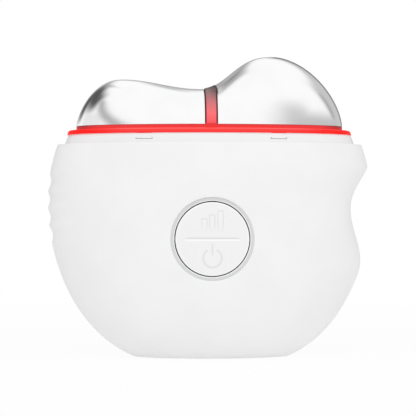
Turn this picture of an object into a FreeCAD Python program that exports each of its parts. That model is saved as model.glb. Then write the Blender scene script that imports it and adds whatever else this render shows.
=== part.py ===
"""Heated face massager: a palm-sized white body that stands on a flat base, with two polished
heated lobes over a red light frame, and a round rocking button on the front.

Millimetres, +Z up, the front towards -Y. The origin is the middle of the flat base.
"""
import FreeCAD, Part
import math
import os

import Sketcher
from FreeCAD import Placement, Rotation, Vector

SIZES = {
    # body form
    "body_height": 52.9,
    "belly_half_width": 40.35,
    "belly_half_depth": 21.2,
    "belly_width_height": 38.5,
    "belly_depth_height": 31.0,
    "shell_wall": 1.6,
    "floor_wall": 1.8,
    # finger rest on the right side
    "rest_depth": 5.2,
    "rest_height": 37.2,
    "rest_rise": 9.9,
    "rest_fall": 17.0,
    # grip grooves on the left side
    "groove_height": 36.8,
    "groove_pitch": 4.3,
    "groove_depth": 0.55,
    "groove_radius": 4.5,
    "groove_reach": 9.0,
    # clearances
    "fit_gap": 0.1,
    "screw_gap": 0.05,
    "running_gap": 0.03,
    # collar
    "collar_rise": 2.15,
    "collar_skirt": 6.1,
    "collar_wall": 1.9,
    "ledge_thickness": 1.5,
    "window_width": 3.9,
    "window_drop": 1.5,
    "window_gap": 0.1,
    # light frame
    "flange_thickness": 1.55,
    "flange_round": 0.8,
    "band_rise": 0.6,
    "band_step": 2.3,
    "band_wall": 2.1,
    "divider_width": 2.8,
    "divider_foot": 0.8,
    "divider_inset": 0.12,
    "spigot_depth": 0.55,
    # lobes
    "low_peak_rise": 11.7,
    "valley_rise": 9.35,
    "high_peak_rise": 17.25,
    "lobe_wall": 1.2,
    "lobe_boss_radius": 2.2,
    "lobe_boss_gap": 0.87,
    "film_thickness": 0.3,
    "film_bond": 0.25,
    "film_hole_gap": 0.4,
    "sensor_radius": 0.8,
    "sensor_length": 3.0,
    # head base and lights
    "head_base_thickness": 2.0,
    "hook_root": 5.7,
    "board_thickness": 1.0,
    "led_board_width": 3.4,
    "led_board_gap": 0.2,
    "led_length": 2.0,
    "led_width": 1.2,
    "led_height": 0.9,
    # vibration motor
    "motor_radius": 3.5,
    "motor_length": 14.0,
    "motor_start": -8.0,
    "boot_wall": 0.8,
    "boot_length": 11.0,
    "cradle_wall": 1.0,
    "bush_radius": 1.2,
    "bush_length": 0.8,
    "shaft_radius": 0.5,
    "shaft_length": 12.0,
    "weight_radius": 3.1,
    "weight_length": 4.5,
    "weight_hub_radius": 1.1,
    # button
    "button_height": 29.5,
    "button_radius": 8.8,
    "button_gap": 0.3,
    "button_edge": 0.4,
    "cap_proud": 0.15,
    "cap_thickness": 1.8,
    "bezel_radius": 10.1,
    "bezel_flange": 1.0,
    "bezel_chamfer": 0.2,
    "sleeve_wall": 0.6,
    "sleeve_depth": 4.0,
    "pivot_depth": 3.5,
    "pin_radius": 0.75,
    "pin_half_length": 9.3,
    "lug_half_length": 6.2,
    "lug_half_width": 1.7,
    "lug_wall": 0.9,
    "post_radius": 1.1,
    # switches
    "switch_spacing": 9.2,
    "switch_width": 5.0,
    "switch_depth": 1.9,
    "plunger_depth": 6.2,
    "plunger_radius": 1.2,
    "plunger_rise": 0.5,
    "plunger_sunk": 0.8,
    "plunger_travel": 0.4,
    "plunger_edge": 0.25,
    "plunger_touch": 0.08,
    # main board
    "main_board_width": 36.0,
    "main_board_height": 30.0,
    "board_hole_margin": 3.0,
    "board_boss_radius": 2.2,
    "small_screw_radius": 0.8,
    "small_screw_length": 5.0,
    "small_head_radius": 1.5,
    "small_head_height": 1.0,
    "chip_height": 1.0,
    # battery
    "battery_width": 32.0,
    "battery_height": 26.0,
    "battery_thickness": 8.0,
    "battery_bottom": 13.0,
    "battery_front": 3.5,
    "battery_round": 1.5,
    "pad_thickness": 0.8,
    "pad_margin": 2.0,
    "rib_spacing": 18.0,
    "rib_thickness": 1.6,
    # charging inlet
    "charge_board_height": 6.0,
    "charge_board_width": 17.0,
    "charge_board_front": 2.8,
    "charge_board_length": 10.0,
    "charge_post_x": 6.0,
    "charge_post_y": 5.2,
    "charge_post_radius": 2.0,
    "usb_width": 8.94,
    "usb_height": 3.26,
    "usb_length": 7.35,
    "usb_wall": 0.32,
    "usb_corner": 1.3,
    "usb_mouth_depth": 6.2,
    "usb_tongue_width": 6.7,
    "usb_tongue_height": 0.7,
    "usb_slot_gap": 0.15,
    # shell screws and their plugs
    "shell_screw_low": 16.0,
    "shell_screw_high": 41.0,
    "shell_boss_radius": 3.0,
    "shell_screw_radius": 0.95,
    "shell_screw_seat": 2.5,
    "shell_screw_grip": 7.0,
    "screw_head_radius": 1.9,
    "screw_head_height": 1.4,
    "plug_length": 3.5,
}

# the body's sections run as powers of the height: fuller numbers make squarer shoulders
FLANK_POWER = 1.9
FRONT_POWER = 2.6
BELLY_POWER = 2.7
# the finger rest fades round the section, and towards its upper end, with powers of the cosine
REST_FADE = 4
REST_UPPER = 1.15
REST_LOWER = 2
# base and mouth of the body, as shares of its half sizes at the belly
BASE_WIDTH_SHARE = 0.4709
BASE_DEPTH_SHARE = 0.401
MOUTH_WIDTH_SHARE = 0.9368
MOUTH_DEPTH_SHARE = 0.8868
# places across the body, as a share of the belly's half width
SHELL_SCREW_SHARE = 0.669
# places along the head, as shares of its half width
LOW_PEAK_SHARE = 0.653
VALLEY_SHARE = 0.0763
HIGH_PEAK_SHARE = 0.473
INNER_BOSS_SHARE = 0.351
SENSOR_SHARE = 0.488
WINDOW_SHARE = 0.4943
# angles of the heater films, across an arch and along the head
FILM_SPREAD = math.radians(50.0)
FILM_START = math.radians(36.0)
FILM_END = math.radians(82.0)
# slopes of the high lobe's outer end
HIGH_END_POWER = 1.7
HIGH_END_ROUND = 1.6

# chips on the back of the control board: place across and up, width, height
CHIPS = {
    "controller": (6.0, 3.0, 6.0, 6.0),
    "charger": (-7.0, 4.0, 3.2, 3.2),
    "driver": (-6.0, -5.0, 4.0, 5.0),
    "connector": (4.0, -9.5, 9.0, 3.0),
}

GROOVES = 4
LEDS = 12
SECTION_POINTS = 36
SECTION_STEP = 1.8
ARCH_POINTS = 13
ARCH_STEP = 6
FILM_STEPS = 9
OFFSET_TOLERANCE = 0.001

doc = FreeCAD.newDocument("heated_face_massager")
nodes = {}


def fill_sheet(name, values):
    """A sheet with one plain number and its alias on each row."""
    sheet = doc.addObject("Spreadsheet::Sheet", name)
    for row, (alias, value) in enumerate(values.items(), start=1):
        sheet.set(f"A{row}", alias)
        sheet.set(f"B{row}", str(value))
        sheet.setAlias(f"B{row}", alias)
    doc.recompute()
    return sheet


sizes = fill_sheet("sizes", SIZES)


def size(alias):
    return float(sizes.get(alias))


# Body form

def swell(z, belly, belly_height, base_share, mouth_share, power):
    """Half size of the body at a height: a full curve up to the belly, a soft fall to the mouth."""
    if z < belly_height:
        reach = belly_height / (1 - base_share ** BELLY_POWER) ** (1 / power)
        return belly * (1 - ((belly_height - z) / reach) ** power) ** (1 / BELLY_POWER)
    rise = (z - belly_height) / (size("body_height") - belly_height)
    return belly * (1 - (1 - mouth_share) * rise ** 2)


def half_width(z):
    return swell(z, size("belly_half_width"), size("belly_width_height"), BASE_WIDTH_SHARE,
                 MOUTH_WIDTH_SHARE, FLANK_POWER)


def half_depth(z):
    return swell(z, size("belly_half_depth"), size("belly_depth_height"), BASE_DEPTH_SHARE,
                 MOUTH_DEPTH_SHARE, FRONT_POWER)


def inset_half(profile, z, inset):
    """The half size of a form that lies inside the outer one by a true wall thickness."""
    step = 0.001
    slope = (profile(z + step) - profile(z)) / step
    return profile(z) - inset * math.hypot(1, slope)


def surface_depth(x, z):
    """How far in front of (or behind) the middle the outer surface lies."""
    return half_depth(z) * math.sqrt(1 - (x / half_width(z)) ** 2)


def rest_dent(z):
    """Depth of the finger rest at a height: steep above, gentle below."""
    above = (z - size("rest_height")) / size("rest_rise")
    below = (size("rest_height") - z) / size("rest_fall")
    if above >= 1 or below >= 1:
        return 0.0
    if above >= 0:
        return size("rest_depth") * math.cos(math.pi / 2 * above) ** REST_UPPER
    return size("rest_depth") * math.cos(math.pi / 2 * below) ** REST_LOWER


def body_section(z, inset):
    wide = inset_half(half_width, z, inset)
    deep = inset_half(half_depth, z, inset)
    dent = rest_dent(z)
    points = []
    for step in range(SECTION_POINTS):
        turn = math.pi / 2 + 2 * math.pi * step / SECTION_POINTS
        side = math.cos(turn)
        x = wide * side - dent * max(side, 0.0) ** REST_FADE
        points.append(Vector(x, deep * math.sin(turn), z))
    outline = Part.BSplineCurve()
    outline.interpolate(Points=points, PeriodicFlag=True,
                        Parameters=[float(step) for step in range(SECTION_POINTS + 1)])
    return Part.Wire([outline.toShape()])


def body_form(name, inset, low, high):
    """A solid of the body's own form, moved inwards by inset, between two heights."""
    count = max(3, round((high - low) / SECTION_STEP))
    heights = [low + (high - low) * step / count for step in range(count + 1)]
    form = doc.addObject("Part::Feature", name)
    form.Shape = Part.makeLoft([body_section(z, inset) for z in heights], True, False)
    return form


# Places that follow from the sizes

collar_top = size("body_height") + size("collar_rise")
collar_inset = size("shell_wall") + size("fit_gap")
flange_half_width = inset_half(half_width, collar_top, collar_inset)
flange_half_depth = inset_half(half_depth, collar_top, collar_inset)
head_half_width = flange_half_width - size("band_step")
led_board_inner = head_half_width - size("band_wall") - size("led_board_gap") - size("led_board_width")
button_face = -surface_depth(size("bezel_radius"), size("button_height"))
usb_bottom = size("charge_board_height") + size("board_thickness")

places = fill_sheet("places", {
    "collar_top": collar_top,
    "collar_foot": size("body_height") - size("collar_skirt"),
    "flange_half_width": flange_half_width,
    "flange_half_depth": flange_half_depth,
    "flange_top": collar_top + size("flange_thickness"),
    "lobe_base": collar_top + size("flange_thickness") + size("band_rise"),
    "head_half_width": head_half_width,
    "head_half_depth": flange_half_depth - size("band_step"),
    "hole_half_width": flange_half_width - size("collar_wall"),
    "hole_half_depth": flange_half_depth - size("collar_wall"),
    "head_base_top": collar_top - size("spigot_depth"),
    "head_base_bottom": collar_top - size("spigot_depth") - size("head_base_thickness"),
    "motor_height": (collar_top - size("spigot_depth") - size("head_base_thickness")
                     - size("cradle_wall") - size("boot_wall") - size("motor_radius")),
    "window_x": WINDOW_SHARE * head_half_width,
    "lobe_boss_inner": INNER_BOSS_SHARE * head_half_width,
    "lobe_boss_outer": led_board_inner - size("lobe_boss_radius") - size("lobe_boss_gap"),
    "sensor_x": SENSOR_SHARE * head_half_width,
    "shell_screw_x": SHELL_SCREW_SHARE * size("belly_half_width"),
    "board_hole_x": size("main_board_width") / 2 - size("board_hole_margin"),
    "board_hole_z": size("main_board_height") / 2 - size("board_hole_margin"),
    "motor_end": size("motor_start") + size("motor_length"),
    "button_face": button_face,
    "cap_back": size("cap_thickness") - size("cap_proud"),
    "sleeve_radius": size("button_radius") + size("button_gap") + size("sleeve_wall"),
    "switch_front": size("plunger_depth") + size("plunger_rise"),
    "board_front": size("plunger_depth") + size("plunger_rise") + size("switch_depth"),
    "battery_back": size("battery_front") + size("battery_thickness"),
    "rib_front": size("battery_front") + size("battery_thickness") + size("pad_thickness"),
    "usb_bottom": usb_bottom,
    "usb_middle": usb_bottom + size("usb_height") / 2,
    "usb_mouth": surface_depth(0.0, usb_bottom),
})


def place(alias):
    return float(places.get(alias))


# Small builders

def bind(thing, **formulas):
    for prop, formula in formulas.items():
        thing.setExpression(prop, formula)
    return thing


def set_base(thing, x="0", y="0", z="0"):
    thing.setExpression("Placement.Base.x", x)
    thing.setExpression("Placement.Base.y", y)
    thing.setExpression("Placement.Base.z", z)
    return thing


def box(name, x, y, z):
    """A block between pairs of formulas along each axis."""
    thing = doc.addObject("Part::Box", name)
    for prop, (low, high) in (("Length", x), ("Width", y), ("Height", z)):
        thing.setExpression(prop, f"({high}) - ({low})")
    return set_base(thing, x[0], y[0], z[0])


AXIS_TURN = {
    "x": Rotation(Vector(0, 1, 0), 90),
    "y": Rotation(Vector(1, 0, 0), -90),
    "z": Rotation(),
}


def rod(name, axis, radius, low, high, x="0", y="0", z="0"):
    """A cylinder along an axis between two formulas, through the other two coordinates."""
    thing = doc.addObject("Part::Cylinder", name)
    thing.Placement = Placement(Vector(), AXIS_TURN[axis])
    bind(thing, Radius=radius, Height=f"({high}) - ({low})")
    base = {"x": x, "y": y, "z": z}
    base[axis] = low
    return set_base(thing, **base)


def oval(name, half_width_formula, half_depth_formula, low, high):
    """An upright prism of elliptical plan."""
    outline = doc.addObject("Part::Ellipse", name + "_outline")
    bind(outline, MajorRadius=half_width_formula, MinorRadius=half_depth_formula)
    set_base(outline, z=low)
    prism = doc.addObject("Part::Extrusion", name)
    prism.Base = outline
    prism.DirMode = "Custom"
    prism.Dir = Vector(0, 0, 1)
    prism.Solid = True
    return bind(prism, LengthFwd=f"({high}) - ({low})")


def fuse(name, things):
    joined = doc.addObject("Part::MultiFuse", name)
    joined.Refine = False
    joined.Shapes = things
    return joined


def cut(name, base, tools):
    """Takes tools that stay clear of each other out of a base."""
    removed = doc.addObject("Part::Cut", name)
    removed.Refine = False
    removed.Base = base
    removed.Tool = tools[0] if len(tools) == 1 else group(name + "_tools", tools)
    return removed


def common(name, base, tool):
    shared = doc.addObject("Part::Common", name)
    shared.Refine = False
    shared.Base = base
    shared.Tool = tool
    return shared


def fillet(name, base, radius, chosen):
    """Rounds the edges of a shape that a test chooses."""
    doc.recompute()
    rounded = doc.addObject("Part::Fillet", name)
    rounded.Base = base
    rounded.Edges = [(number, radius, radius) for number, edge in enumerate(base.Shape.Edges, start=1)
                     if chosen(edge)]
    return rounded


def group(name, things):
    several = doc.addObject("Part::Compound", name)
    several.Links = things
    return several


def node(label, thing):
    """Names a finished piece."""
    thing.Label = label
    nodes[label] = thing
    return thing


# Sketched bodies

FACING_FRONT = Rotation(Vector(1, 0, 0), 90)


def new_body(label, x="0", y="0", z="0", turn=Rotation()):
    body = doc.addObject("PartDesign::Body", label)
    body.Placement = Placement(Vector(), turn)
    set_base(body, x, y, z)
    return node(label, body)


def front_body(label, z="sizes.button_height"):
    """A body whose own +Z looks out of the front, with its origin on the button's face."""
    return new_body(label, y="places.button_face", z=z, turn=FACING_FRONT)


def new_sketch(body, name, role, lift="0"):
    sketch = body.newObject("Sketcher::SketchObject", f"{body.Name}_{name}")
    origin_plane = next(plane for plane in body.Origin.OriginFeatures if plane.Role == role)
    sketch.AttachmentSupport = (origin_plane, [""])
    sketch.MapMode = "FlatFace"
    sketch.setExpression("AttachmentOffset.Base.z", lift)
    return sketch


def constrain(sketch, formula, *constraint):
    """Adds a dimension and ties it to a formula."""
    index = sketch.addConstraint(Sketcher.Constraint(*constraint, 1.0))
    sketch.setExpression(f"Constraints[{index}]", formula)


def draw_disc(sketch, radius, x="0", y="0"):
    circle = sketch.addGeometry(Part.Circle(Vector(), Vector(0, 0, 1), 1.0), False)
    constrain(sketch, radius, "Radius", circle)
    constrain(sketch, x, "DistanceX", -1, 1, circle, 3)
    constrain(sketch, y, "DistanceY", -1, 1, circle, 3)


def draw_rectangle(sketch, width, height, x="0", y="0"):
    corners = [Vector(-1, -1, 0), Vector(1, -1, 0), Vector(1, 1, 0), Vector(-1, 1, 0)]
    first = sketch.GeometryCount
    for side in range(4):
        sketch.addGeometry(Part.LineSegment(corners[side], corners[(side + 1) % 4]), False)
    for side in range(4):
        sketch.addConstraint(Sketcher.Constraint("Coincident", first + side, 2, first + (side + 1) % 4, 1))
    for side in (0, 2):
        sketch.addConstraint(Sketcher.Constraint("Horizontal", first + side))
        sketch.addConstraint(Sketcher.Constraint("Vertical", first + side + 1))
    constrain(sketch, width, "DistanceX", first, 1, first, 2)
    constrain(sketch, height, "DistanceY", first + 1, 1, first + 1, 2)
    constrain(sketch, f"({x}) - ({width}) / 2", "DistanceX", -1, 1, first, 1)
    constrain(sketch, f"({y}) - ({height}) / 2", "DistanceY", -1, 1, first, 1)


def pad(body, sketch, length, back=False, midplane=False):
    """Adds material from a sketch, forwards, backwards or to both sides."""
    feature = body.newObject("PartDesign::Pad", sketch.Name + "_pad")
    feature.Profile = sketch
    feature.Reversed = back
    feature.Midplane = midplane
    feature.setExpression("Length", length)
    return feature


def pocket(body, sketch, length, midplane=False):
    """Removes material from a sketch, against its normal or to both sides."""
    feature = body.newObject("PartDesign::Pocket", sketch.Name + "_pocket")
    feature.Profile = sketch
    feature.Midplane = midplane
    feature.setExpression("Length", length)
    doc.recompute()
    if feature.Shape.Volume > feature.BaseFeature.Shape.Volume - 1e-6:
        raise RuntimeError(f"{feature.Name} removes nothing")
    return feature


def round_edges(body, kind, amount, chosen):
    """Fillets or chamfers the edges of a body that a test chooses."""
    doc.recompute()
    base = body.Tip
    names = [f"Edge{number}" for number, edge in enumerate(base.Shape.Edges, start=1) if chosen(edge)]
    feature = body.newObject(f"PartDesign::{kind}", f"{body.Name}_{kind.lower()}")
    feature.Base = (base, names)
    feature.setExpression("Radius" if kind == "Fillet" else "Size", amount)
    return feature


def is_ring(edge, radius, level):
    """Whether an edge is a full circle of a radius at a level of its body."""
    if not isinstance(edge.Curve, Part.Circle) or len(edge.Vertexes) > 1:
        return False
    return abs(edge.Curve.Radius - radius) < 1e-6 and abs(edge.Curve.Center.z - level) < 1e-6


# Forms shared by the shells and the collar

body_outer = body_form("body_outer", 0.0, 0.0, size("body_height"))
body_inner = body_form("body_inner", size("shell_wall"), size("floor_wall"), collar_top)
body_middle = body_form("body_middle", size("shell_wall") / 2, size("floor_wall") / 2, size("body_height"))
collar_outer = body_form("collar_outer", collar_inset, place("collar_foot"), collar_top)


def grip_groove(index):
    """A ring cutter that bites the left side and fades out before the front and the back."""
    height = size("groove_height") + (index - (GROOVES - 1) / 2) * size("groove_pitch")
    reach = size("groove_reach")
    sagitta = half_width(height) * (1 - math.sqrt(1 - (reach / half_depth(height)) ** 2))
    fall = sagitta - size("groove_depth")
    bend = (reach ** 2 + fall ** 2) / (2 * fall)
    spread = math.degrees(math.asin(reach / bend))
    groove = doc.addObject("Part::Torus", f"groove_{index + 1}")
    groove.Radius1 = bend + size("groove_radius")
    bind(groove, Radius2="sizes.groove_radius")
    groove.Angle3 = 2 * spread
    groove.Placement = Placement(Vector(bend + size("groove_depth") - half_width(height), 0, height),
                                 Rotation(Vector(0, 0, 1), 180 - spread))
    return groove


shell_hollow = cut("shell_hollow", body_outer, [body_inner])
grooves = fuse("grooves", [grip_groove(index) for index in range(GROOVES)])
shell_gripped = cut("shell_gripped", shell_hollow, [grooves])

WIDE = ("-2 * sizes.belly_half_width", "2 * sizes.belly_half_width")
TALL = ("-sizes.body_height", "2 * sizes.body_height")
FRONT = ("-2 * sizes.belly_half_depth", "0")
REAR = ("0", "2 * sizes.belly_half_depth")

ledge_slab = box("ledge_slab", WIDE, (FRONT[0], REAR[1]),
                 ("places.collar_foot - sizes.ledge_thickness", "places.collar_foot"))
ledge_hole = oval("ledge_hole", "places.hole_half_width", "places.hole_half_depth",
                  "places.collar_foot - 2 * sizes.ledge_thickness", "places.collar_top")
collar_ledge = cut("collar_ledge", common("ledge_blank", ledge_slab, body_middle), [ledge_hole])

SHELL_SCREWS = [
    (f"shell_{side}_{level}", f"{sign} * places.shell_screw_x", f"sizes.shell_screw_{level}")
    for side, sign in (("left", -1), ("right", 1))
    for level in ("low", "high")
]
BOARD_SCREWS = [
    (f"board_{side}_{level}", f"{sign} * places.board_hole_x",
     f"sizes.button_height + {rise} * places.board_hole_z")
    for side, sign in (("left", -1), ("right", 1))
    for level, rise in (("low", -1), ("high", 1))
]
BOARD_FACE = "places.button_face + places.board_front"


# Front shell: half of the hollow body with the button's opening and the bosses inside it

def make_front_shell():
    half = common("front_half", shell_gripped, box("front_space", WIDE, FRONT, TALL))
    ledge = common("front_ledge", collar_ledge, box("front_ledge_space", WIDE, FRONT, TALL))
    screw_bosses = [
        rod(f"{name}_front_boss", "y", "sizes.shell_boss_radius", FRONT[0], "0", x=x, z=z)
        for name, x, z in SHELL_SCREWS
    ]
    board_bosses = [
        rod(f"{name}_boss", "y", "sizes.board_boss_radius", FRONT[0], BOARD_FACE, x=x, z=z)
        for name, x, z in BOARD_SCREWS
    ]
    bosses = common("front_bosses", fuse("front_boss_rods", screw_bosses + board_bosses), body_middle)
    opening = rod("bezel_opening", "y", "places.sleeve_radius + sizes.fit_gap", FRONT[0], "0",
                  z="sizes.button_height")
    seat = rod("bezel_seat", "y", "sizes.bezel_radius + sizes.fit_gap", FRONT[0],
               "places.button_face + sizes.bezel_flange", z="sizes.button_height")
    screw_pilots = [
        rod(f"{name}_pilot", "y", "sizes.shell_screw_radius + sizes.screw_gap",
            "-sizes.shell_screw_grip - sizes.screw_head_height", "0", x=x, z=z)
        for name, x, z in SHELL_SCREWS
    ]
    board_pilots = [
        rod(f"{name}_pilot", "y", "sizes.small_screw_radius + sizes.screw_gap",
            f"{BOARD_FACE} - sizes.small_screw_length", BOARD_FACE, x=x, z=z)
        for name, x, z in BOARD_SCREWS
    ]
    whole = fuse("front_whole", [half, ledge, bosses])
    opened = cut("front_opened", whole, [opening])
    drilled = cut("front_drilled", opened, screw_pilots + board_pilots)
    return node("front_shell", cut("front_shell", drilled, [seat]))


# Rear shell: the other half, with counterbored screw bosses, battery ribs, posts and the inlet slot

def make_rear_shell():
    half = common("rear_half", shell_gripped, box("rear_space", WIDE, REAR, TALL))
    ledge = common("rear_ledge", collar_ledge, box("rear_ledge_space", WIDE, REAR, TALL))
    screw_bosses = [
        rod(f"{name}_rear_boss", "y", "sizes.shell_boss_radius", "0", REAR[1], x=x, z=z)
        for name, x, z in SHELL_SCREWS
    ]
    ribs = [
        box(f"battery_rib_{side}",
            (f"{sign} * sizes.rib_spacing / 2 - sizes.rib_thickness / 2",
             f"{sign} * sizes.rib_spacing / 2 + sizes.rib_thickness / 2"),
            ("places.rib_front", REAR[1]),
            ("sizes.battery_bottom + sizes.pad_margin",
             "sizes.battery_bottom + sizes.battery_height - sizes.pad_margin"))
        for side, sign in (("left", -1), ("right", 1))
    ]
    posts = [
        rod(f"charge_post_{side}", "z", "sizes.charge_post_radius", "0", "sizes.charge_board_height",
            x=f"{sign} * sizes.charge_post_x", y="sizes.charge_post_y")
        for side, sign in (("left", -1), ("right", 1))
    ]
    inside = common("rear_inside", fuse("rear_boss_rods", screw_bosses + ribs + posts), body_middle)
    screw_holes = [
        rod(f"{name}_hole", "y", "sizes.shell_screw_radius + sizes.screw_gap", "0", REAR[1], x=x, z=z)
        for name, x, z in SHELL_SCREWS
    ]
    counterbores = [
        rod(f"{name}_counterbore", "y", "sizes.screw_head_radius + sizes.fit_gap", "sizes.shell_screw_seat",
            REAR[1], x=x, z=z)
        for name, x, z in SHELL_SCREWS
    ]
    post_holes = [
        rod(f"charge_pilot_{side}", "z", "sizes.small_screw_radius + sizes.screw_gap",
            "sizes.charge_board_height - sizes.small_screw_length + sizes.board_thickness",
            "sizes.charge_board_height", x=f"{sign} * sizes.charge_post_x", y="sizes.charge_post_y")
        for side, sign in (("left", -1), ("right", 1))
    ]
    slot_half_width = "(sizes.usb_width / 2 + sizes.usb_slot_gap)"
    slot_half_height = "(sizes.usb_height / 2 + sizes.usb_slot_gap)"
    slot = box("usb_slot", (f"-{slot_half_width}", slot_half_width), ("sizes.charge_board_length", REAR[1]),
               (f"places.usb_middle - {slot_half_height}", f"places.usb_middle + {slot_half_height}"))
    rounded_slot = fillet("usb_slot_rounded", slot, size("usb_corner") + size("usb_slot_gap"),
                          lambda edge: edge.BoundBox.YLength > size("usb_length"))
    whole = fuse("rear_whole", [half, ledge, inside])
    drilled = cut("rear_drilled", whole, screw_holes + post_holes + [rounded_slot])
    return node("rear_shell", cut("rear_shell", drilled, counterbores))


# Screws that pull the shells together from behind, and the plugs that hide their heads

def make_shell_screws():
    screws = []
    plugs = []
    for name, x, z in SHELL_SCREWS:
        head = rod(f"{name}_head", "y", "sizes.screw_head_radius", "sizes.shell_screw_seat",
                   "sizes.shell_screw_seat + sizes.screw_head_height", x=x, z=z)
        shank = rod(f"{name}_shank", "y", "sizes.shell_screw_radius", "-sizes.shell_screw_grip",
                    "sizes.shell_screw_seat", x=x, z=z)
        screws.append(fuse(f"{name}_screw", [head, shank]))
        level = size("shell_screw_low") if name.endswith("low") else size("shell_screw_high")
        start = surface_depth(place("shell_screw_x"), level) - size("plug_length")
        blank = rod(f"{name}_plug_blank", "y", "sizes.screw_head_radius + sizes.fit_gap - sizes.screw_gap",
                    f"{start}", REAR[1], x=x, z=z)
        plugs.append(common(f"{name}_plug", blank, body_outer))
    node("shell_screws", group("shell_screws", screws))
    node("screw_plugs", group("screw_plugs", plugs))


# Top collar: fills the mouth of the shells, with four windows for the head's snap hooks

WINDOWS = [
    (f"window_{side}_{face}", f"{sign} * places.window_x", depth)
    for side, sign in (("left", -1), ("right", 1))
    for face, depth in (("front", FRONT), ("rear", REAR))
]


def make_top_collar():
    hole = oval("collar_hole", "places.hole_half_width", "places.hole_half_depth",
                "places.collar_foot - sizes.collar_rise", "places.collar_top + sizes.collar_rise")
    windows = [
        box(name, (f"{x} - sizes.window_width / 2", f"{x} + sizes.window_width / 2"), depth,
            ("places.collar_top - sizes.window_drop", "places.collar_top + sizes.window_drop"))
        for name, x, depth in WINDOWS
    ]
    return node("top_collar", cut("top_collar", collar_outer, [hole] + windows))


# Head forms: arches along the head's length, whose crown follows two peaks and a valley

def crown_rise(x):
    """Height of the lobes over their base at a place along the head."""
    end = place("head_half_width")
    low_x = -LOW_PEAK_SHARE * end
    valley_x = -VALLEY_SHARE * end
    high_x = HIGH_PEAK_SHARE * end
    low = size("low_peak_rise")
    valley = size("valley_rise")
    high = size("high_peak_rise")
    if x < low_x:
        return low * math.sqrt(1 - ((low_x - x) / (end + low_x)) ** 2)
    if x < valley_x:
        return low + (valley - low) * (1 - math.cos(math.pi * (x - low_x) / (valley_x - low_x))) / 2
    if x < high_x:
        return valley + (high - valley) * (1 - math.cos(math.pi * (x - valley_x) / (high_x - valley_x))) / 2
    return high * (1 - ((x - high_x) / (end - high_x)) ** HIGH_END_POWER) ** (1 / HIGH_END_ROUND)


def arch_points(turn, inset, spread):
    """Points of one arch, at an angle along the head's plan, to a spread each side of its crown."""
    end = place("head_half_width")
    x = -(end - inset) * math.cos(turn)
    deep = (place("head_half_depth") - inset) * math.sin(turn)
    rise = crown_rise(x * end / (end - inset)) - inset * math.sin(turn)
    points = []
    for step in range(ARCH_POINTS):
        swing = spread * (2 * step / (ARCH_POINTS - 1) - 1)
        points.append(Vector(x, deep * math.sin(swing), place("lobe_base") + rise * math.cos(swing)))
    return points


def arch_curve(points):
    curve = Part.BSplineCurve()
    curve.interpolate(Points=points, Parameters=[float(step) for step in range(ARCH_POINTS)])
    return curve.toShape()


def head_arch(turn, inset):
    return Part.Wire([arch_curve(arch_points(turn, inset, math.pi / 2))])


def film_arch(turn):
    """The upper face of the heater film across the head, just under the metal."""
    return Part.Wire([arch_curve(arch_points(turn, size("lobe_wall") + size("film_bond"), FILM_SPREAD))])


def head_form(name, inset):
    """The head's form: a skin of arches between its two tips, sewn to a flat base."""
    end = place("head_half_width") - inset
    tips = [Part.Vertex(Vector(x, 0, place("lobe_base"))) for x in (-end, end)]
    arches = [head_arch(math.radians(angle), inset) for angle in range(ARCH_STEP, 180, ARCH_STEP)]
    skin = Part.makeLoft([tips[0]] + arches + [tips[1]], False, False)
    feet = [edge for edge in skin.Edges if not edge.Degenerated]
    base = Part.Face(Part.Wire(Part.sortEdges(feet)[0]))
    shell = Part.Shell(skin.Faces + [base])
    shell.sewShape()
    form = doc.addObject("Part::Feature", name)
    form.Shape = Part.Solid(shell)
    return form


head_outer = head_form("head_outer", 0.0)
head_inner = head_form("head_inner", size("lobe_wall"))
head_middle = head_form("head_middle", size("lobe_wall") / 2)
head_hollow = cut("head_hollow", head_outer, [head_inner])

DEEP = (FRONT[0], REAR[1])
HALF_GAP = "sizes.divider_width / 2 + sizes.fit_gap / 2"
LOBES = {
    "low": (-1, ("-2 * places.head_half_width", f"-({HALF_GAP})")),
    "high": (1, (HALF_GAP, "2 * places.head_half_width")),
}


def lobe_bosses(lobe, suffix, radius, low, high):
    sign = LOBES[lobe][0]
    return [
        rod(f"{lobe}_{where}_{suffix}", "z", radius, low, high, x=f"{sign} * places.lobe_boss_{where}")
        for where in ("inner", "outer")
    ]


# Lobes: hollow polished metal domes with tapped bosses inside, and the heater films bonded to them

def make_lobe(lobe):
    span = LOBES[lobe][1]
    above = ("places.lobe_base - sizes.band_rise", TALL[1])
    dome = common(f"{lobe}_dome", head_hollow, box(f"{lobe}_space", span, DEEP, above))
    upper = common(f"{lobe}_boss_tops", fuse(f"{lobe}_boss_rods", lobe_bosses(
        lobe, "boss_top", "sizes.lobe_boss_radius", "places.lobe_base", TALL[1])), head_middle)
    lower = lobe_bosses(lobe, "boss_foot", "sizes.lobe_boss_radius", "places.head_base_top",
                        "places.lobe_base")
    pilots = lobe_bosses(lobe, "pilot", "sizes.small_screw_radius + sizes.screw_gap",
                         "places.head_base_top", "places.head_base_top + sizes.small_screw_length")
    whole = fuse(f"{lobe}_whole", [dome, upper] + lower)
    node(f"{lobe}_lobe", cut(f"{lobe}_lobe", whole, pilots))
    node(f"{lobe}_heater_film", make_film(lobe))


def make_film(lobe):
    """The heater film, lofted along its lobe just under the metal, with holes round the bosses."""
    angles = [FILM_START + (FILM_END - FILM_START) * step / FILM_STEPS for step in range(FILM_STEPS + 1)]
    if lobe == "high":
        angles = [math.pi - angle for angle in reversed(angles)]
    strip = doc.addObject("Part::Feature", f"{lobe}_film_strip")
    face = Part.makeLoft([film_arch(angle) for angle in angles], False, False)
    strip.Shape = face.makeOffsetShape(size("film_thickness"), OFFSET_TOLERANCE, fill=True)
    clear = lobe_bosses(lobe, "film_hole", "sizes.lobe_boss_radius + sizes.film_hole_gap",
                        "places.lobe_base", TALL[1])
    return cut(f"{lobe}_film", strip, clear)


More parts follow.
